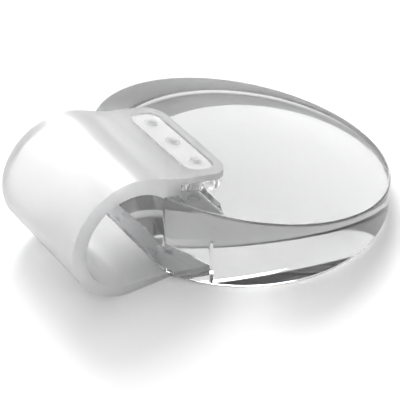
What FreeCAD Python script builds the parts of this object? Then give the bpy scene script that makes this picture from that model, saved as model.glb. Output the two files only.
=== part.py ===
import FreeCAD, Part
import Sketcher
import os
import re

# Finger-worn cheek retractor: a solid clear wedge-shaped disc (the paddle) goes inside the cheek,
# and a frosted silicone loop on its tall flat heel goes round a finger.
# +X runs from the loop to the thin far edge, +Z is up, and the origin is under the middle of the object.

Vector = FreeCAD.Vector

doc = FreeCAD.newDocument("CheekRetractor")
sheet = doc.addObject("Spreadsheet::Sheet", "Sizes")

# Driving dimensions in mm and degrees. Distances "back" are measured from the disc's centre towards the loop.
SIZES = [
    ("disc_x", 8.0, "disc centre, ahead of the origin"),
    ("disc_radius", 28.0, "round wall of the paddle"),
    ("heel_back", 25.3, "flat heel wall"),
    ("deck_height", 11.8, "height of the tilted top over the disc centre"),
    ("deck_tilt", 13.5, "slope of the top, down towards the far edge"),
    ("blank_height", 22.0, "height of the blank before the tilted cut"),
    ("heel_round", 1.6, "upright corners of the heel"),
    ("deck_round", 0.5, "edge round the tilted top"),
    ("foot_round", 0.7, "edge round the underside"),
    ("pocket_back", 23.6, "back of the anchor pocket in the underside"),
    ("pocket_front", 14.4, "front of the anchor pocket"),
    ("pocket_width", 25.9, "pocket across the finger"),
    ("pocket_height", 6.8, "pocket ceiling"),
    ("slot_height", 1.1, "slot under the heel wall for the loop's tongue"),
    ("band_width", 25.4, "silicone band across the finger"),
    ("bight_back", 32.1, "centre of the loop's round end"),
    ("bight_outer", 11.9, "outer radius of the round end"),
    ("bight_inner", 9.3, "inner radius of the round end"),
    ("bight_lift", 11.3, "height of the inner arc's centre"),
    ("flap_front", 11.1, "free end of the top flap"),
    ("flap_bend", 22.0, "where the flap turns down towards the loop"),
    ("flap_rise", 3.5, "top of the flap over the deck"),
    ("flap_corner", 4.0, "rounded corners of the flap's free end"),
    ("bend_round", 8.0, "round in the hollow of the bend"),
    ("tongue", 1.0, "thickness of the tongue and of the lower flap at the heel"),
    ("tongue_front", 14.9, "end of the tongue inside the pocket"),
    ("pad_back", 21.8, "back of the landing pad"),
    ("pad_front", 11.6, "front of the landing pad"),
    ("pad_width", 24.6, "landing pad across the finger"),
    ("pad_rise", 2.1, "top of the landing pad over the deck"),
    ("pad_corner", 3.6, "rounded corners of the landing pad"),
    ("window_back", 19.0, "back of the window in the flap"),
    ("window_front", 12.8, "front of the window"),
    ("window_width", 21.2, "window across the finger"),
    ("window_floor", 2.75, "floor of the window over the deck"),
    ("window_corner", 2.4, "corners of the window"),
    ("strip_inset", 0.2, "gap round the clamp strip"),
    ("strip_thick", 0.5, "clamp strip"),
    ("peg_back", 16.2, "line of clamp pegs"),
    ("peg_pitch", 7.2, "spacing of the clamp pegs"),
    ("peg_radius", 0.8, "shank of a clamp peg"),
    ("peg_depth", 2.5, "how far a peg goes into the paddle"),
    ("head_radius", 1.35, "head of a clamp peg"),
    ("crown_radius", 0.85, "flat top of a peg's head"),
    ("head_height", 0.45, "height of a peg's head"),
    ("pin_radius", 1.1, "anchor pins through the tongue"),
    ("pin_row_x", 4.4, "spacing of the anchor pins along the object"),
    ("pin_row_y", 12.0, "spacing of the anchor pins across the object"),
    ("pin_recess", 0.2, "how far the pins stop short of the underside"),
    ("groove_width", 0.5, "keying grooves in the anchor block"),
    ("groove_depth", 0.6, "depth of the keying grooves"),
    ("block_corner", 1.0, "upright corners of the anchor block"),
    ("bond_gap", 0.05, "bond line between two pieces"),
    ("peg_gap", 0.05, "clearance round a peg or a pin"),
]

# The clamp pegs stand in one row across the finger.
PEG_OFFSETS = ["0 - peg_pitch", "0", "peg_pitch"]


def fill_sheet():
    for row, (alias, value, meaning) in enumerate(SIZES, start=1):
        sheet.set(f"A{row}", meaning)
        sheet.set(f"B{row}", str(value))
        sheet.setAlias(f"B{row}", alias)
    doc.recompute()


def size(alias):
    return float(getattr(sheet, alias))


def named(text):
    """Put the sheet's name before each alias in an expression."""
    aliases = {alias for alias, _, _ in SIZES}
    return re.sub(r"[a-z_]+", lambda word: f"Sizes.{word[0]}" if word[0] in aliases else word[0], text)


def along(back):
    """X of a place that lies the given distance back from the disc's centre."""
    return f"disc_x - ({back})"


def over_deck(back, rise):
    """Z of a place the given height over the tilted top."""
    return f"deck_height + ({back}) * tan(deck_tilt * 1 deg) + {rise}"


def new_body(name):
    return doc.addObject("PartDesign::Body", name)


def new_sketch(body, name, plane):
    sketch = body.newObject("Sketcher::SketchObject", name)
    origin_plane = next(f for f in body.Origin.OriginFeatures if f.Role == plane)
    sketch.AttachmentSupport = [(origin_plane, "")]
    sketch.MapMode = "FlatFace"
    return sketch


def pin_point(sketch, item, end, horizontal, vertical):
    """Fix one end of a line or arc at two expressions of the sheet."""
    for axis, expression in (("DistanceX", horizontal), ("DistanceY", vertical)):
        index = sketch.addConstraint(Sketcher.Constraint(axis, -1, 1, item, end, 1.0))
        sketch.renameConstraint(index, f"{axis}_{item}_{end}")
        sketch.setExpression(f"Constraints.{axis}_{item}_{end}", named(expression))


def value_of(expression):
    """The number that an expression of the sheet has now."""
    return float(sheet.evalExpression(named(expression)))


def polygon(sketch, corners):
    """Close a polygon whose corners are pairs of expressions."""
    points = [Vector(value_of(h), value_of(v), 0) for h, v in corners]
    count = len(points)
    for i in range(count):
        sketch.addGeometry(Part.LineSegment(points[i], points[(i + 1) % count]), False)
    for i in range(count):
        sketch.addConstraint(Sketcher.Constraint("Coincident", i, 2, (i + 1) % count, 1))
    for i, (h, v) in enumerate(corners):
        pin_point(sketch, i, 1, h, v)


def rectangle(sketch, back, front, width):
    """A rectangle across the finger, in plan."""
    left, right = along(back), along(front)
    near, far = f"0 - ({width}) / 2", f"({width}) / 2"
    polygon(sketch, [(left, near), (right, near), (right, far), (left, far)])


def deck_strip(sketch, back, front, low, high):
    """A strip parallel to the tilted top, seen from the side."""
    polygon(sketch, [
        (along(back), over_deck(back, low)),
        (along(front), over_deck(front, low)),
        (along(front), over_deck(front, high)),
        (along(back), over_deck(back, high)),
    ])


def pad(body, name, sketch, length, across=False):
    feature = body.newObject("PartDesign::Pad", name)
    feature.Profile = sketch
    feature.Midplane = across
    feature.setExpression("Length", named(length))
    doc.recompute()
    return feature


def pocket(body, name, sketch, length, across=False, reverse=False):
    before = body.Shape.Volume
    feature = body.newObject("PartDesign::Pocket", name)
    feature.Profile = sketch
    feature.Midplane = across
    feature.Reversed = reverse
    feature.setExpression("Length", named(length))
    doc.recompute()
    if body.Shape.Volume >= before - 0.01:
        raise RuntimeError(f"{name} cut nothing")
    return feature


def edge_names(shape, wanted):
    return [f"Edge{i}" for i, edge in enumerate(shape.Edges, start=1) if wanted(edge)]


def fillet(body, name, radius, wanted):
    base = body.Tip
    edges = edge_names(base.Shape, wanted)
    if not edges:
        raise RuntimeError(f"{name} found no edges")
    feature = body.newObject("PartDesign::Fillet", name)
    feature.Base = (base, edges)
    feature.setExpression("Radius", named(radius))
    doc.recompute()
    return feature


def is_upright(edge):
    if not isinstance(edge.Curve, Part.Line):
        return False
    return abs(edge.Curve.Direction.z) > 0.999


def middle(edge):
    return edge.valueAt((edge.FirstParameter + edge.LastParameter) / 2)


def upright_at(back, tolerance=0.1):
    """Pick the upright edges that stand the given distance back."""
    x = value_of(along(back))
    return lambda edge: is_upright(edge) and abs(middle(edge).x - x) < tolerance


def deck_level(x):
    return value_of("deck_height") + (size("disc_x") - x) * value_of("tan(deck_tilt * 1 deg)")


def make_paddle_blank():
    body = new_body("paddle_blank")
    outline = new_sketch(body, "paddle_outline", "XY_Plane")
    centre = Vector(size("disc_x"), 0, 0)
    radius, back = size("disc_radius"), size("heel_back")
    half = (radius ** 2 - back ** 2) ** 0.5
    near, far = Vector(centre.x - back, -half, 0), Vector(centre.x - back, half, 0)
    tip = Vector(centre.x + radius, 0, 0)
    outline.addGeometry(Part.Arc(near, tip, far), False)
    outline.addGeometry(Part.LineSegment(far, near), False)
    outline.addConstraint(Sketcher.Constraint("Coincident", 0, 2, 1, 1))
    outline.addConstraint(Sketcher.Constraint("Coincident", 1, 2, 0, 1))
    outline.addConstraint(Sketcher.Constraint("Vertical", 1))
    pin_point(outline, 0, 3, "disc_x", "0")
    index = outline.addConstraint(Sketcher.Constraint("Radius", 0, radius))
    outline.renameConstraint(index, "wall")
    outline.setExpression("Constraints.wall", "Sizes.disc_radius")
    index = outline.addConstraint(Sketcher.Constraint("DistanceX", 1, 1, 0, 3, back))
    outline.renameConstraint(index, "heel")
    outline.setExpression("Constraints.heel", "Sizes.heel_back")
    pad(body, "paddle_pad", outline, "blank_height")

    above = new_sketch(body, "above_deck", "XZ_Plane")
    far_back, far_front = "disc_radius * 1.1", "0 - disc_radius * 1.1"
    polygon(above, [
        (along(far_back), over_deck(far_back, "0")),
        (along(far_front), over_deck(far_front, "0")),
        (along(far_front), "blank_height * 2"),
        (along(far_back), "blank_height * 2"),
    ])
    pocket(body, "deck_cut", above, "disc_radius * 2.2", across=True)
    fillet(body, "heel_corners", "heel_round", is_upright)
    return body


def cut_anchor_pocket(body):
    well = new_sketch(body, "pocket_plan", "XY_Plane")
    rectangle(well, "pocket_back", "pocket_front", "pocket_width")
    pocket(body, "anchor_pocket", well, "pocket_height", reverse=True)
    slot = new_sketch(body, "slot_plan", "XY_Plane")
    rectangle(slot, "heel_back + 1", "pocket_back - 0.5", "pocket_width")
    pocket(body, "tongue_slot", slot, "slot_height", reverse=True)


def round_paddle_edges(body):
    """Round the rim of the tilted top and the rim of the underside."""
    def on_deck(edge):
        return all(abs(v.Point.z - deck_level(v.Point.x)) < 0.05 for v in edge.Vertexes) and \
            abs(middle(edge).z - deck_level(middle(edge).x)) < 0.05

    def on_foot(edge):
        return abs(middle(edge).z) < 0.01 and all(abs(v.Point.z) < 0.01 for v in edge.Vertexes)

    fillet(body, "deck_edge", "deck_round", on_deck)
    fillet(body, "foot_edge", "foot_round", on_foot)


def make_peg(name, offset):
    """One clamp peg: a shank and a low domed head, square to the tilted top."""
    shank = doc.addObject("Part::Cylinder", f"{name}_shank")
    shank.setExpression("Radius", named("peg_radius"))
    shank.setExpression("Height", named("peg_depth + window_floor + strip_thick"))
    head = doc.addObject("Part::Cone", f"{name}_head")
    head.setExpression("Radius1", named("head_radius"))
    head.setExpression("Radius2", named("crown_radius"))
    head.setExpression("Height", named("head_height"))
    for piece, rise in ((shank, "0 - peg_depth"), (head, "window_floor + strip_thick + bond_gap")):
        stand_on_deck(piece, "peg_back", offset, rise)
    peg = doc.addObject("Part::Fuse", name)
    peg.Base = shank
    peg.Tool = head
    return peg


def stand_on_deck(piece, back, across, rise):
    """Stand a piece square to the tilted top, the given height over it."""
    piece.Placement = FreeCAD.Placement(Vector(0, 0, 0), FreeCAD.Rotation(Vector(0, 1, 0), 10))
    piece.setExpression("Placement.Rotation.Angle", named("deck_tilt"))
    lean = f"({rise}) * sin(deck_tilt * 1 deg) * cos(deck_tilt * 1 deg)"
    lift = f"({rise}) * cos(deck_tilt * 1 deg) ^ 2"
    piece.setExpression("Placement.Base.x", named(f"{along(back)} + {lean}"))
    piece.setExpression("Placement.Base.y", named(across))
    piece.setExpression("Placement.Base.z", named(over_deck(back, lift)))


def make_peg_holes():
    """Drills for the clamp pegs, long enough to pass through every layer."""
    drills = []
    for i, offset in enumerate(PEG_OFFSETS):
        drill = doc.addObject("Part::Cylinder", f"peg_drill_{i}")
        drill.setExpression("Radius", named("peg_radius + peg_gap"))
        drill.setExpression("Height", named("(peg_depth + flap_rise) * 1.5"))
        stand_on_deck(drill, "peg_back", offset, "0 - peg_depth - bond_gap")
        drills.append(drill)
    group = doc.addObject("Part::Compound", "peg_drills")
    group.Links = drills
    return group


def cut(name, base, tool):
    result = doc.addObject("Part::Cut", name)
    result.Base = base
    result.Tool = tool
    return result


def make_loop_blank():
    """The silicone band: flap, round end, lower flap and tongue as one section, padded across."""
    body = new_body("loop_blank")
    section = new_sketch(body, "loop_section", "XZ_Plane")
    centre = Vector(value_of(along("bight_back")), size("bight_outer"), 0)
    inner_centre = Vector(centre.x, size("bight_lift"), 0)
    outer, inner = size("bight_outer"), size("bight_inner")

    def at(h, v):
        return Vector(value_of(h), value_of(v), 0)

    heel = along("heel_back + bond_gap")
    corners = {
        "flap_tip": (along("flap_front"), over_deck("flap_front", "flap_rise")),
        "bend": (along("flap_bend"), over_deck("flap_bend", "flap_rise")),
        "tongue_low": (along("tongue_front"), "0"),
        "tongue_top": (along("tongue_front"), "tongue"),
        "heel_foot": (heel, "tongue"),
        "deck_back": (heel, over_deck("heel_back + bond_gap", "bond_gap")),
        "step_low": (along("pad_back + bond_gap"), over_deck("pad_back + bond_gap", "bond_gap")),
        "step_top": (along("pad_back + bond_gap"), over_deck("pad_back + bond_gap", "pad_rise + bond_gap")),
        "flap_under": (along("flap_front"), over_deck("flap_front", "pad_rise + bond_gap")),
    }
    spot = {name: at(h, v) for name, (h, v) in corners.items()}

    outer_start = centre + Vector(0.45, 0.89, 0) * outer
    outer_mid = centre + Vector(-outer, 0, 0)
    outer_end = centre + Vector(0, -outer, 0)
    inner_start = inner_centre + Vector(0.2, -0.98, 0) * inner
    inner_mid = inner_centre + Vector(-inner, 0, 0)
    reach = spot["heel_foot"].x - inner_centre.x
    inner_end = inner_centre + Vector(reach, (inner ** 2 - reach ** 2) ** 0.5, 0)

    pieces = [
        Part.LineSegment(spot["flap_tip"], spot["bend"]),
        Part.LineSegment(spot["bend"], outer_start),
        Part.Arc(outer_start, outer_mid, outer_end),
        Part.LineSegment(outer_end, spot["tongue_low"]),
        Part.LineSegment(spot["tongue_low"], spot["tongue_top"]),
        Part.LineSegment(spot["tongue_top"], spot["heel_foot"]),
        Part.LineSegment(spot["heel_foot"], inner_start),
        Part.Arc(inner_end, inner_mid, inner_start),
        Part.LineSegment(inner_end, spot["deck_back"]),
        Part.LineSegment(spot["deck_back"], spot["step_low"]),
        Part.LineSegment(spot["step_low"], spot["step_top"]),
        Part.LineSegment(spot["step_top"], spot["flap_under"]),
        Part.LineSegment(spot["flap_under"], spot["flap_tip"]),
    ]
    for piece in pieces:
        section.addGeometry(piece, False)
    joined = [(0, 2, 1, 1), (3, 2, 4, 1), (4, 2, 5, 1), (5, 2, 6, 1), (8, 1, 7, 1), (8, 2, 9, 1),
              (9, 2, 10, 1), (10, 2, 11, 1), (11, 2, 12, 1), (12, 2, 0, 1)]
    for first, first_end, second, second_end in joined:
        section.addConstraint(Sketcher.Constraint("Coincident", first, first_end, second, second_end))
    for first, first_end, second, second_end in ((1, 2, 2, 1), (3, 1, 2, 2), (6, 2, 7, 2)):
        section.addConstraint(Sketcher.Constraint("Tangent", first, first_end, second, second_end))
    for item, end, name in ((0, 1, "flap_tip"), (1, 1, "bend"), (4, 1, "tongue_low"), (5, 1, "tongue_top"),
                            (6, 1, "heel_foot"), (9, 1, "deck_back"), (10, 1, "step_low"),
                            (11, 1, "step_top"), (12, 1, "flap_under")):
        pin_point(section, item, end, *corners[name])
    pin_point(section, 2, 3, along("bight_back"), "bight_outer")
    pin_point(section, 7, 3, along("bight_back"), "bight_lift")
    section.addConstraint(Sketcher.Constraint("Vertical", 8))
    section.addConstraint(Sketcher.Constraint("Horizontal", 3))
    index = section.addConstraint(Sketcher.Constraint("Radius", 7, inner))
    section.renameConstraint(index, "inner_radius")
    section.setExpression("Constraints.inner_radius", "Sizes.bight_inner")
    pad(body, "loop_pad", section, "band_width", across=True)
    return body


def shape_loop(body):
    """Round the flap's free corners and the bend, then open the window and the pin holes."""
    bend_x, bend_z = value_of(along("flap_bend")), value_of(over_deck("flap_bend", "flap_rise"))

    def at_bend(edge):
        m = middle(edge)
        return edge.Length > 20 and abs(m.x - bend_x) < 0.05 and abs(m.z - bend_z) < 0.05

    fillet(body, "bend_hollow", "bend_round", at_bend)
    fillet(body, "flap_corners", "flap_corner", upright_at("flap_front"))
    window = new_sketch(body, "window_section", "XZ_Plane")
    deck_strip(window, "window_back", "window_front", "window_floor", "flap_rise + 1")
    pocket(body, "window", window, "window_width", across=True)
    fillet(body, "window_corners", "window_corner",
           lambda e: upright_at("window_back")(e) or upright_at("window_front")(e))


def pin_places():
    middle_back = "(pocket_back + pocket_front) / 2"
    return [(f"{middle_back} + {i} * pin_row_x / 2", f"{j} * pin_row_y / 2") for i in (-1, 1) for j in (-1, 1)]


def circles(sketch, radius):
    """One circle at each anchor pin's place."""
    for i, (back, across) in enumerate(pin_places()):
        place = Vector(value_of(along(back)), value_of(across), 0)
        sketch.addGeometry(Part.Circle(place, Vector(0, 0, 1), value_of(radius)), False)
        pin_point(sketch, i, 3, along(back), across)
        index = sketch.addConstraint(Sketcher.Constraint("Radius", i, value_of(radius)))
        sketch.renameConstraint(index, f"pin_{i}")
        sketch.setExpression(f"Constraints.pin_{i}", named(radius))


def make_anchor_block():
    """The clear block that keys the tongue in the pocket: grooves in its underside, four pins below it."""
    body = new_body("anchor_block")
    plan = new_sketch(body, "block_plan", "XY_Plane")
    rectangle(plan, "pocket_back - bond_gap", "pocket_front + bond_gap", "pocket_width - 2 * bond_gap")
    plan.setExpression("AttachmentOffset.Base.z", named("tongue + bond_gap"))
    pad(body, "block_pad", plan, "pocket_height - tongue - 2 * bond_gap")
    fillet(body, "block_corners", "block_corner", is_upright)
    for i, (back, front, width) in enumerate((
            ("pocket_back", "pocket_front", "groove_width"),
            ("(pocket_back + pocket_front + groove_width) / 2",
             "(pocket_back + pocket_front - groove_width) / 2", "pocket_width"))):
        groove = new_sketch(body, f"groove_plan_{i}", "XY_Plane")
        rectangle(groove, back, front, width)
        groove.setExpression("AttachmentOffset.Base.z", named("tongue + bond_gap"))
        pocket(body, f"groove_{i}", groove, "groove_depth", reverse=True)
    pins = new_sketch(body, "pin_plan", "XY_Plane")
    pins.setExpression("AttachmentOffset.Base.z", named("pin_recess"))
    circles(pins, "pin_radius")
    pad(body, "pins", pins, "tongue + groove_depth")
    return body


def make_deck_layer(name, back, front, width, low, high, corner):
    """A flat layer parallel to the tilted top: a rounded post, cut off above and below."""
    body = new_body(f"{name}_blank")
    plan = new_sketch(body, f"{name}_plan", "XY_Plane")
    rectangle(plan, back, front, width)
    pad(body, f"{name}_post", plan, "blank_height * 1.5")
    fillet(body, f"{name}_corners", corner, is_upright)
    over = new_sketch(body, f"{name}_over", "XZ_Plane")
    deck_strip(over, f"{back} + 1", f"{front} - 1", high, "blank_height * 2")
    pocket(body, f"{name}_top", over, f"{width} + 2", across=True)
    under = new_sketch(body, f"{name}_under", "XZ_Plane")
    deck_strip(under, f"{back} + 1", f"{front} - 1", "0 - blank_height * 2", low)
    pocket(body, f"{name}_bottom", under, f"{width} + 2", across=True)
    return body


def build_parts():
    drills = make_peg_holes()

    paddle_blank = make_paddle_blank()
    round_paddle_edges(paddle_blank)
    cut_anchor_pocket(paddle_blank)
    paddle = cut("paddle", paddle_blank, drills)

    loop_blank = make_loop_blank()
    shape_loop(loop_blank)
    holes = new_sketch(loop_blank, "tongue_holes", "XY_Plane")
    circles(holes, "pin_radius + peg_gap")
    pocket(loop_blank, "pin_holes", holes, "tongue * 1.5", reverse=True)
    finger_loop = cut("finger_loop", loop_blank, drills)

    pad_blank = make_deck_layer("landing", "pad_back", "pad_front", "pad_width",
                                "bond_gap", "pad_rise", "pad_corner")
    landing_pad = cut("landing_pad", pad_blank, drills)

    strip_blank = make_deck_layer("strip", "window_back - strip_inset", "window_front + strip_inset",
                                  "window_width - 2 * strip_inset", "window_floor + bond_gap",
                                  "window_floor + strip_thick", "window_corner - strip_inset")
    clamp_strip = cut("clamp_strip", strip_blank, drills)

    clamp_pegs = doc.addObject("Part::Compound", "clamp_pegs")
    clamp_pegs.Links = [make_peg(f"clamp_peg_{i}", offset) for i, offset in enumerate(PEG_OFFSETS)]

    return [paddle, finger_loop, landing_pad, clamp_strip, clamp_pegs, make_anchor_block()]


def check_and_export(parts):
    doc.recompute()
    for item in doc.Objects:
        if "Invalid" in item.State or "Error" in item.State:
            raise RuntimeError(f"{item.Name} failed: {item.State}")
    os.makedirs("parts", exist_ok=True)
    for part in parts:
        part.Label = part.Name
        shape = part.Shape
        if shape.isNull() or not shape.isValid():
            raise RuntimeError(f"{part.Label} has no valid shape")
        shape.exportStep(f"parts/{part.Label}.step")
        box = shape.optimalBoundingBox()
        print(f"{part.Label}: {len(shape.Solids)} solids, {shape.Volume:.1f} mm3,"
              f" x {box.XMin:.2f}..{box.XMax:.2f} y {box.YMin:.2f}..{box.YMax:.2f} z {box.ZMin:.2f}..{box.ZMax:.2f}")


fill_sheet()
check_and_export(build_parts())
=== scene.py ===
import bpy
import bmesh
from math import cos, hypot, radians, sin, tan
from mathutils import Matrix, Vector


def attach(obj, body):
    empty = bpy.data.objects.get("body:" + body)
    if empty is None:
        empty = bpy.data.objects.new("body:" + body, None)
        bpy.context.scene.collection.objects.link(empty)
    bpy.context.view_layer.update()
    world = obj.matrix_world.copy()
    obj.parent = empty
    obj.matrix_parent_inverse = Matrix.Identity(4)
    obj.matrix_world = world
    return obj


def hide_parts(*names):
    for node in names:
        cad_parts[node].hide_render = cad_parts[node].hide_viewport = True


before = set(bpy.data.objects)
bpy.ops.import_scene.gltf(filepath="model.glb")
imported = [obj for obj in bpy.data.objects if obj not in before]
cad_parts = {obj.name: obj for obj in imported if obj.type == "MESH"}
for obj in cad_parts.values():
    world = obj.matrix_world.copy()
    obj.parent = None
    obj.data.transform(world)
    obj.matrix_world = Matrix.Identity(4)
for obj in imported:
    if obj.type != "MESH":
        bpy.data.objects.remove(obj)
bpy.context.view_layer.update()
mm = 0.001

# Everything is in metres. +X runs from the finger loop to the thin far edge of the paddle, +Z is up.

camera = {
    "place": (-143.72 * mm, -214.48 * mm, 195.40 * mm),
    "aim": (0.44259, 0.66758, -0.59871),
    "lens": 154.08,
}
room = {"behindWay": (0.55, 0.83, 0.0), "behind": 0.45, "front": 0.92, "strength": 1.0}
lights = {  # place, power in watts, width
    "keyLight": {"place": (0.28, 0.66, 0.70), "power": 6.0, "size": 0.45},
    "softBox": {"place": (0.05, 0.60, 0.80), "power": 5.0, "size": 1.1},
    "fillLight": {"place": (-0.20, -0.85, 0.35), "power": 0.6, "size": 0.8},
}
floorLook = {"size": 3.0, "height": -0.02 * mm, "shade": 0.86}

lightPassed = {  # share of light that clear pieces let through to what they shade, along x
    "heel": 1.0, "body": 0.1, "heelEnd": -8 * mm, "bodyStart": 4 * mm,
}

paddle = {
    "centreX": 8.0 * mm, "radius": 28.0 * mm, "sides": 256, "blank": 22.0 * mm,
    "heelX": -17.3 * mm, "heelCorner": 0.36 * mm,
    "deckHeight": 11.8 * mm, "deckTilt": radians(13.5),
    "deckEdge": 0.5 * mm, "footEdge": 1.2 * mm, "edgeSteps": 4,
    # x, y and z ranges in mm
    "pocket": ((-15.6, -6.4), (-12.95, 12.95), (-1.0, 6.8)),
    "slot": ((-18.5, -15.0), (-12.95, 12.95), (-1.0, 1.1)),
}
pegs = {"back": 16.2 * mm, "pitch": 7.2 * mm, "hole": 0.85 * mm, "depth": 2.55 * mm}
loop = {
    "width": 25.4 * mm, "softEdge": 0.3 * mm,
    "endX": -24.1 * mm, "outerHeight": 11.9 * mm, "outerRadius": 11.9 * mm,
    "innerHeight": 11.3 * mm, "innerRadius": 9.3 * mm,
    "spinStart": radians(-95), "spinTurn": radians(-197.6), "spinStop": radians(44 - 360), "turnSteps": 48,
    "underRun": 1.5 * mm, "underThick": 1.88 * mm, "deckGap": 0.05 * mm,
    "hollow": ((0.72, 24.2), (0.86, 23.2)),  # share of the slope, and back from the disc's middle in mm
    "slopeStep": 0.11, "slopeEnd": 0.55, "hollowRise": 0.02 * mm, "bendRise": 0.06 * mm,
    "stepLean": 0.6 * mm, "stepDraft": 0.02 * mm,
    "flapFront": 11.1 * mm, "flapBend": 22.0 * mm, "flapRise": 3.5 * mm, "flapUnder": 2.15 * mm,
    "stepBack": 21.85 * mm, "heelBack": 25.35 * mm, "tongue": 1.0 * mm, "tongueFront": 14.9 * mm,
    "corner": 4.0 * mm,
    "windowBack": 19.0 * mm, "windowFront": 12.8 * mm, "windowWidth": 21.2 * mm,
    "windowFloor": 2.75 * mm, "windowCorner": 2.4 * mm,
    "pinHole": 1.15 * mm, "pinX": (-13.2 * mm, -8.8 * mm), "pinY": (-6.0 * mm, 6.0 * mm),
}


# Places that several pieces share.

def backX(back):  # x of a place that far back from the middle of the disc
    return paddle["centreX"] - back


def deckZ(back, rise=0.0):  # height of the tilted deck there
    return paddle["deckHeight"] + back * tan(paddle["deckTilt"]) + rise


deckNormal = Vector((sin(paddle["deckTilt"]), 0, cos(paddle["deckTilt"])))


# Steps of modelling that come up again and again.

def focus(piece):  # the only object selected, and the active one
    bpy.ops.object.select_all(action="DESELECT")
    piece.select_set(True)
    bpy.context.view_layer.objects.active = piece


def startEdit(piece):
    focus(piece)
    bpy.ops.object.mode_set(mode="EDIT")


def endEdit():
    bpy.ops.object.mode_set(mode="OBJECT")


def pick(piece, kind, wanted):  # select the faces or edges that pass the test, nothing else
    mesh = bmesh.from_edit_mesh(piece.data)
    for part in list(mesh.verts) + list(mesh.edges) + list(mesh.faces):
        part.select = False
    bpy.ops.mesh.select_mode(type=kind)
    mesh = bmesh.from_edit_mesh(piece.data)
    parts = mesh.edges if kind == "EDGE" else mesh.faces
    for part in [part for part in parts if wanted(part)]:
        part.select_set(True)
    bmesh.update_edit_mesh(piece.data)


def settle(piece):  # the object ends at the origin, with its place in its mesh
    focus(piece)
    bpy.ops.object.transform_apply(location=True, rotation=True, scale=True)


def applyModifier(piece, kind, **values):
    focus(piece)
    modifier = piece.modifiers.new(kind.lower(), kind)
    for name, value in values.items():
        setattr(modifier, name, value)
    bpy.ops.object.modifier_apply(modifier=modifier.name)


def cutAway(piece, cutter):
    applyModifier(piece, "BOOLEAN", operation="DIFFERENCE", object=cutter, solver="EXACT")
    bpy.data.objects.remove(cutter)


def addBlock(name, xRange, yRange, zRange):  # ranges in metres
    low = Vector((xRange[0], yRange[0], zRange[0]))
    high = Vector((xRange[1], yRange[1], zRange[1]))
    bpy.ops.object.select_all(action="DESELECT")
    bpy.ops.mesh.primitive_cube_add(size=1, location=(low + high) / 2)
    block = bpy.context.object
    block.name = name
    block.scale = high - low
    settle(block)
    return block


def addDrill(name, radius, length, place, lean=0.0):
    bpy.ops.object.select_all(action="DESELECT")
    bpy.ops.mesh.primitive_cylinder_add(radius=radius, depth=length, vertices=48, location=place,
                                        rotation=(0, lean, 0))
    drill = bpy.context.object
    drill.name = name
    settle(drill)
    return drill


def smooth(piece, angle):
    focus(piece)
    bpy.ops.object.shade_smooth_by_angle(angle=angle)


# Paddle: a clear solid wedge with a flat heel. An anchor pocket and a tongue slot open in its underside.

def makePaddle():
    s = paddle
    bpy.ops.object.select_all(action="DESELECT")
    bpy.ops.mesh.primitive_cylinder_add(vertices=s["sides"], radius=s["radius"], depth=s["blank"],
                                        location=(s["centreX"], 0, s["blank"] / 2))
    piece = bpy.context.object
    piece.name = "clearPaddle"
    settle(piece)
    startEdit(piece)
    bpy.ops.mesh.select_all(action="SELECT")
    bpy.ops.mesh.bisect(plane_co=(s["heelX"], 0, 0), plane_no=(-1, 0, 0), use_fill=True, clear_outer=True)
    bpy.ops.mesh.select_all(action="SELECT")
    bpy.ops.mesh.bisect(plane_co=(s["centreX"], 0, s["deckHeight"]), plane_no=deckNormal, use_fill=True,
                        clear_outer=True)
    tiny = 0.01 * mm

    def heelUpright(edge):
        a, b = edge.verts
        atHeel = all(abs(v.co.x - s["heelX"]) < tiny for v in edge.verts)
        return atHeel and abs(a.co.y - b.co.y) < tiny

    def onDeck(edge):
        middle = Vector((s["centreX"], 0, s["deckHeight"]))
        return all(abs((v.co - middle).dot(deckNormal)) < tiny for v in edge.verts)

    def onFoot(edge):
        return all(abs(v.co.z) < tiny for v in edge.verts)

    pick(piece, "EDGE", heelUpright)
    bpy.ops.mesh.bevel(offset=s["heelCorner"], segments=s["edgeSteps"], affect="EDGES")
    pick(piece, "EDGE", onDeck)
    bpy.ops.mesh.bevel(offset=s["deckEdge"], segments=s["edgeSteps"], affect="EDGES")
    pick(piece, "EDGE", onFoot)
    bpy.ops.mesh.bevel(offset=s["footEdge"], segments=s["edgeSteps"], affect="EDGES")
    endEdit()
    for name in ("pocket", "slot"):
        cutAway(piece, addBlock(name, *[(a * mm, b * mm) for a, b in s[name]]))
    for i in (-1, 0, 1):
        place = Vector((backX(pegs["back"]), i * pegs["pitch"], deckZ(pegs["back"])))
        length = pegs["depth"] * 2
        cutAway(piece, addDrill("pegHole", pegs["hole"], length, place, lean=s["deckTilt"]))
    smooth(piece, radians(30))
    applyModifier(piece, "WEIGHTED_NORMAL", keep_sharp=True, weight=100)
    return piece


# Finger loop: one silicone band, swept round its end, with a flap over the deck and a tongue under the heel.

def ringPoint(height, radius, angle):  # a place on the round end, angle from +X up to +Z
    return Vector((loop["endX"] + radius * cos(angle), 0, height + radius * sin(angle)))


def onLine(*places):  # tests for parts whose corners all lie at these places, seen from the side
    def test(part):
        return all(min(hypot(v.co.x - p.x, v.co.z - p.z) for p in places) < 0.001 * mm for v in part.verts)
    return test


def stretchBand(piece, end, outer, inner):  # carry the band's end face on to a new outer and inner edge
    step = inner - end["inner"]
    pick(piece, "FACE", onLine(end["outer"], end["inner"]))
    bpy.ops.mesh.extrude_region_move(TRANSFORM_OT_translate={"value": step})
    pick(piece, "EDGE", onLine(end["outer"] + step))
    bpy.ops.transform.translate(value=outer - end["outer"] - step)
    end["outer"], end["inner"] = outer, inner


def deckPoint(back, rise):
    return Vector((backX(back), 0, deckZ(back, rise)))


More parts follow.
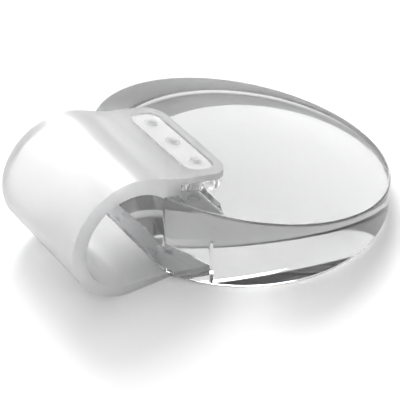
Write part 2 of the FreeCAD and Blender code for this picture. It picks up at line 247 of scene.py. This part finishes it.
def makeLoop():
    s = loop
    startAngle, turn = s["spinStart"], s["spinTurn"]
    startOuter = ringPoint(s["outerHeight"], s["outerRadius"], startAngle)
    startInner = ringPoint(s["outerHeight"], s["innerRadius"], startAngle)
    bpy.ops.object.select_all(action="DESELECT")
    bpy.ops.mesh.primitive_plane_add(size=1, location=(startOuter + startInner) / 2,
                                     rotation=(0, -startAngle, 0))
    piece = bpy.context.object
    piece.name = "siliconeLoop"
    piece.scale = (s["outerRadius"] - s["innerRadius"], s["width"], 1)
    settle(piece)
    startEdit(piece)

    # the round end is spun, then its inner wall is let down a little, which thickens the top
    bpy.ops.mesh.select_all(action="SELECT")
    bpy.ops.mesh.spin(steps=s["turnSteps"], angle=turn, center=(s["endX"], 0, s["outerHeight"]), axis=(0, 1, 0))
    middle = (s["outerRadius"] + s["innerRadius"]) / 2

    def onInnerWall(edge):
        return all(hypot(v.co.x - s["endX"], v.co.z - s["outerHeight"]) < middle for v in edge.verts)

    pick(piece, "EDGE", onInnerWall)
    drop = Vector((0, 0, s["innerHeight"] - s["outerHeight"]))
    bpy.ops.transform.translate(value=drop)

    # under the heel: the band thins to a tongue
    low = {"outer": startOuter, "inner": startInner + drop}
    for x, thick in ((s["endX"] + s["underRun"], s["underThick"]), (backX(s["heelBack"]), s["tongue"]),
                     (backX(s["tongueFront"]), s["tongue"])):
        stretchBand(piece, low, Vector((x, 0, 0)), Vector((x, 0, thick)))

    # over the deck: down the slope from the round end, through a shallow hollow, then flat along the deck
    endAngle = startAngle + turn
    high = {"outer": ringPoint(s["outerHeight"], s["outerRadius"], endAngle),
            "inner": ringPoint(s["outerHeight"], s["innerRadius"], endAngle) + drop}
    crest, bend = high["outer"].copy(), deckPoint(s["flapBend"], s["flapRise"])
    stop = s["spinStop"]
    for i in range(1, 5):
        angle = endAngle + (stop - endAngle) * i / 4
        under = ringPoint(s["innerHeight"], s["innerRadius"], angle)
        stretchBand(piece, high, crest.lerp(bend, s["slopeStep"] * i), under)
    stretchBand(piece, high, crest.lerp(bend, s["slopeEnd"]), deckPoint(s["heelBack"], s["deckGap"]))
    for share, back in s["hollow"]:
        outer = crest.lerp(bend, share) + Vector((0, 0, s["hollowRise"]))
        stretchBand(piece, high, outer, deckPoint(back * mm, s["deckGap"]))
    stretchBand(piece, high, bend + Vector((0, 0, s["bendRise"])), deckPoint(s["stepBack"], s["deckGap"]))
    stretchBand(piece, high, deckPoint(s["stepBack"] - s["stepLean"], s["flapRise"]),
                deckPoint(s["stepBack"] - s["stepDraft"], s["flapUnder"]))
    stretchBand(piece, high, deckPoint(s["flapFront"], s["flapRise"]),
                deckPoint(s["flapFront"], s["flapUnder"]))
    atEnd = onLine(high["outer"], high["inner"])
    pick(piece, "EDGE", lambda e: atEnd(e) and abs(e.verts[0].co.y - e.verts[1].co.y) < mm)
    bpy.ops.mesh.bevel(offset=s["corner"], segments=10, affect="EDGES")
    bpy.ops.mesh.select_all(action="SELECT")
    bpy.ops.mesh.normals_make_consistent(inside=False)
    endEdit()

    cutAway(piece, windowCutter())
    for x in s["pinX"]:
        for y in s["pinY"]:
            cutAway(piece, addDrill("pinHole", s["pinHole"], 3 * mm, (x, y, 0)))
    for i in (-1, 0, 1):
        place = deckPoint(pegs["back"], 0) + Vector((0, i * pegs["pitch"], 0))
        cutAway(piece, addDrill("pegHole", pegs["hole"], 12 * mm, place, lean=paddle["deckTilt"]))
    applyModifier(piece, "BEVEL", width=s["softEdge"], segments=3, limit_method="ANGLE",
                  angle_limit=radians(50))
    smooth(piece, radians(40))
    applyModifier(piece, "WEIGHTED_NORMAL", keep_sharp=True, weight=100)
    return piece


def windowCutter():  # a rounded block that stands on the window's floor, square to the deck
    s, lean = loop, paddle["deckTilt"]
    tall = 4 * mm
    long = (s["windowBack"] - s["windowFront"]) / cos(lean)
    wide = s["windowWidth"]
    block = addBlock("windowCutter", (-long / 2, long / 2), (-wide / 2, wide / 2), (0, tall))
    startEdit(block)
    pick(block, "EDGE", lambda e: abs(e.verts[0].co.z - e.verts[1].co.z) > mm)
    bpy.ops.mesh.bevel(offset=s["windowCorner"], segments=8, affect="EDGES")
    endEdit()
    block.rotation_euler = (0, lean, 0)
    block.location = deckPoint((s["windowBack"] + s["windowFront"]) / 2, s["windowFloor"])
    settle(block)
    return block


# Materials. Patterns read Object coordinates, so they stay with the object.

def newMaterial(name):
    material = bpy.data.materials.new(name)
    material.use_nodes = True
    tree = material.node_tree
    shader = tree.nodes["Principled BSDF"]
    return material, tree, shader


def addNode(tree, kind, links=(), **values):
    node = tree.nodes.new(kind)
    for name, value in values.items():
        if name in node.inputs.keys():
            node.inputs[name].default_value = value
        else:
            setattr(node, name, value)
    for socket, source in links:
        tree.links.new(source, node.inputs[socket])
    return node


def noiseOf(tree, scale, detail=2.0):
    place = addNode(tree, "ShaderNodeTexCoord")
    return addNode(tree, "ShaderNodeTexNoise", [("Vector", place.outputs["Object"])],
                   Scale=scale, Detail=detail)


def rangeOf(tree, source, low, high):
    node = addNode(tree, "ShaderNodeMapRange", [("Value", source)])
    node.inputs["From Min"].default_value = 0.3
    node.inputs["From Max"].default_value = 0.7
    node.inputs["To Min"].default_value = low
    node.inputs["To Max"].default_value = high
    return node.outputs["Result"]


def clearMaterial(name, ior, roughLow, roughHigh, wave, density, heelShare=1.0):
    material, tree, shader = newMaterial(name)
    shader.inputs["Transmission Weight"].default_value = 1.0
    shader.inputs["IOR"].default_value = ior
    clouds = noiseOf(tree, 90.0)
    tree.links.new(rangeOf(tree, clouds.outputs["Fac"], roughLow, roughHigh), shader.inputs["Roughness"])
    tint = addNode(tree, "ShaderNodeValToRGB", [("Fac", clouds.outputs["Fac"])])
    tint.color_ramp.elements[0].color = (0.985, 0.987, 0.99, 1)
    tint.color_ramp.elements[1].color = (1, 1, 1, 1)
    tree.links.new(tint.outputs["Color"], shader.inputs["Base Color"])
    ripples = noiseOf(tree, 60.0, 1.0)
    bump = addNode(tree, "ShaderNodeBump", [("Height", ripples.outputs["Fac"])],
                   Strength=wave, Distance=0.2 * mm)
    tree.links.new(bump.outputs["Normal"], shader.inputs["Normal"])
    depth = addNode(tree, "ShaderNodeVolumeAbsorption", Color=(0.1, 0.1, 0.1, 1), Density=density)
    output = tree.nodes["Material Output"]
    tree.links.new(depth.outputs["Volume"], output.inputs["Volume"])
    rays = addNode(tree, "ShaderNodeLightPath")  # a clear body lets part of the light through to what it shades
    space = addNode(tree, "ShaderNodeTexCoord")
    parts = addNode(tree, "ShaderNodeSeparateXYZ", [("Vector", space.outputs["Object"])])
    share = addNode(tree, "ShaderNodeMapRange", [("Value", parts.outputs["X"])])
    share.inputs["From Min"].default_value = lightPassed["heelEnd"]
    share.inputs["From Max"].default_value = lightPassed["bodyStart"]
    share.inputs["To Min"].default_value = lightPassed["heel"] * heelShare
    share.inputs["To Max"].default_value = lightPassed["body"]
    passed = addNode(tree, "ShaderNodeMath", [(0, rays.outputs["Is Shadow Ray"]), (1, share.outputs["Result"])])
    passed.operation = "MULTIPLY"
    clear = addNode(tree, "ShaderNodeBsdfTransparent")
    blend = addNode(tree, "ShaderNodeMixShader",
                    [(0, passed.outputs[0]), (1, shader.outputs[0]), (2, clear.outputs[0])])
    tree.links.new(blend.outputs[0], output.inputs["Surface"])
    return material


def siliconeMaterial(name):
    material, tree, shader = newMaterial(name)
    clouds = noiseOf(tree, 120.0, 3.0)
    tint = addNode(tree, "ShaderNodeValToRGB", [("Fac", clouds.outputs["Fac"])])
    tint.color_ramp.elements[0].color = (0.98, 0.981, 0.983, 1)
    tint.color_ramp.elements[1].color = (1, 1, 1, 1)
    tree.links.new(tint.outputs["Color"], shader.inputs["Base Color"])
    tree.links.new(rangeOf(tree, clouds.outputs["Fac"], 0.34, 0.42), shader.inputs["Roughness"])
    shader.inputs["IOR"].default_value = 1.41
    shader.inputs["Transmission Weight"].default_value = 0.65
    shader.inputs["Subsurface Weight"].default_value = 1.0
    shader.inputs["Subsurface Radius"].default_value = (1.0, 1.0, 1.0)
    shader.inputs["Subsurface Scale"].default_value = 5 * mm
    shader.inputs["Coat Weight"].default_value = 0.3
    shader.inputs["Coat Roughness"].default_value = 0.2
    grain = noiseOf(tree, 2500.0, 2.0)
    bump = addNode(tree, "ShaderNodeBump", [("Height", grain.outputs["Fac"])],
                   Strength=0.08, Distance=0.05 * mm)
    tree.links.new(bump.outputs["Normal"], shader.inputs["Normal"])
    return material


def coat(piece, material):
    piece.data.materials.clear()
    piece.data.materials.append(material)


def markBond(piece):  # the glued faces of the anchor pocket, where the body hardly bends the light
    low, high = zip(*[(a * mm, b * mm) for a, b in paddle["pocket"]])
    near = 0.1 * mm
    bonded = piece.data.attributes.new("bonded", "FLOAT", "FACE")
    for face in piece.data.polygons:
        inside = all(low[i] - near < face.center[i] < high[i] + near for i in range(3))
        bonded.data[face.index].value = 1.0 if inside and face.center.z > 0.05 * mm else 0.0


def bondClear(material, ior, faceIor):
    tree = material.node_tree
    bonded = addNode(tree, "ShaderNodeAttribute", attribute_name="bonded")
    blend = addNode(tree, "ShaderNodeMapRange", [("Value", bonded.outputs["Fac"])])
    blend.inputs["To Min"].default_value = ior
    blend.inputs["To Max"].default_value = faceIor
    tree.links.new(blend.outputs["Result"], tree.nodes["Principled BSDF"].inputs["IOR"])


def matchSides(material, ior, sideIor):  # glued sides hardly bend the light; the open underside does
    tree = material.node_tree
    space = addNode(tree, "ShaderNodeTexCoord")
    parts = addNode(tree, "ShaderNodeSeparateXYZ", [("Vector", space.outputs["Object"])])
    blend = addNode(tree, "ShaderNodeMapRange", [("Value", parts.outputs["Z"])])
    blend.inputs["From Min"].default_value = 0.1 * mm
    blend.inputs["From Max"].default_value = 0.15 * mm
    blend.inputs["To Min"].default_value = ior
    blend.inputs["To Max"].default_value = sideIor
    tree.links.new(blend.outputs["Result"], tree.nodes["Principled BSDF"].inputs["IOR"])


# Room: a pale floor, a soft pale room darker behind, two lights from behind and above, and a weak one in front.

def makeRoom():
    bpy.ops.object.select_all(action="DESELECT")
    bpy.ops.mesh.primitive_plane_add(size=floorLook["size"], location=(0, 0, floorLook["height"]))
    floor = bpy.context.object
    floor.name = "floor"
    material, tree, shader = newMaterial("paleFloor")
    shade = floorLook["shade"]
    dust = noiseOf(tree, 8.0)
    tint = addNode(tree, "ShaderNodeValToRGB", [("Fac", dust.outputs["Fac"])])
    tint.color_ramp.elements[0].color = (shade, shade, shade, 1)
    tint.color_ramp.elements[1].color = (shade * 1.02, shade * 1.02, shade * 1.02, 1)
    tree.links.new(tint.outputs["Color"], shader.inputs["Base Color"])
    shader.inputs["Roughness"].default_value = 1.0
    shader.inputs["Specular IOR Level"].default_value = 0.0
    coat(floor, material)

    world = bpy.data.worlds.new("softRoom")
    bpy.context.scene.world = world
    world.use_nodes = True
    tree = world.node_tree
    aim = addNode(tree, "ShaderNodeTexCoord")
    behind = Vector(room["behindWay"]).normalized()
    along = addNode(tree, "ShaderNodeVectorMath", [(0, aim.outputs["Generated"])], operation="DOT_PRODUCT")
    along.inputs[1].default_value = behind
    ramp = addNode(tree, "ShaderNodeValToRGB")
    spread = addNode(tree, "ShaderNodeMapRange", [("Value", along.outputs["Value"])])
    spread.inputs["From Min"].default_value = -1.0
    tree.links.new(spread.outputs["Result"], ramp.inputs["Fac"])
    ramp.color_ramp.elements[0].color = (room["front"],) * 3 + (1,)
    ramp.color_ramp.elements[1].color = (room["behind"],) * 3 + (1,)
    backdrop = tree.nodes["Background"]
    tree.links.new(ramp.outputs["Color"], backdrop.inputs["Color"])
    backdrop.inputs["Strength"].default_value = room["strength"]

    for name, light in lights.items():
        bpy.ops.object.light_add(type="AREA", location=light["place"])
        lamp = bpy.context.object
        lamp.name = name
        lamp.data.energy = light["power"]
        lamp.data.size = light["size"]
        lamp.rotation_euler = Vector(light["place"]).to_track_quat("Z", "Y").to_euler()


def makeCamera():
    bpy.ops.object.camera_add(location=camera["place"])
    view = bpy.context.object
    view.name = "camera"
    view.rotation_euler = Vector(camera["aim"]).to_track_quat("-Z", "Y").to_euler()
    view.data.lens = camera["lens"]
    view.data.sensor_width = 36
    view.data.clip_start = 0.01
    bpy.context.scene.camera = view


makeCamera()
makeRoom()
print("camera and room ready")

bodyIor, bondIor = 1.46, 1.02  # how strongly the clear body and its glued faces bend light
plastic = clearMaterial("clearPlastic", bodyIor, 0.0, 0.01, 0.02, 14.0)
trim = clearMaterial("clearTrim", 1.44, 0.03, 0.08, 0.05, 2.0)
bondClear(plastic, bodyIor, bondIor)
embedded = clearMaterial("embeddedBlock", bondIor, 0.0, 0.01, 0.02, 0.0)
matchSides(embedded, bodyIor, bondIor)
satin = clearMaterial("satinTrim", 1.40, 0.12, 0.2, 0.05, 2.0, heelShare=0.2)
satin.node_tree.nodes["Principled BSDF"].inputs["Transmission Weight"].default_value = 0.6
silicone = siliconeMaterial("frostedSilicone")

clearPaddle = makePaddle()
coat(clearPaddle, plastic)
markBond(clearPaddle)
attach(clearPaddle, "root")
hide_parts("paddle")
print("paddle ready")

siliconeLoop = makeLoop()
coat(siliconeLoop, silicone)
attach(siliconeLoop, "root")
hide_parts("finger_loop")
print("finger loop ready")

finishes = {"landing_pad": trim, "clamp_strip": satin, "clamp_pegs": satin, "anchor_block": embedded}
for name, finish in finishes.items():
    coat(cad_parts[name], finish)
print("trim ready")

scene = bpy.context.scene
scene.view_settings.view_transform = "Standard"
scene.view_settings.look = "None"
scene.view_settings.gamma = 0.85
scene.cycles.max_bounces = 32
scene.cycles.transmission_bounces = 32
scene.cycles.glossy_bounces = 24
scene.cycles.diffuse_bounces = 6
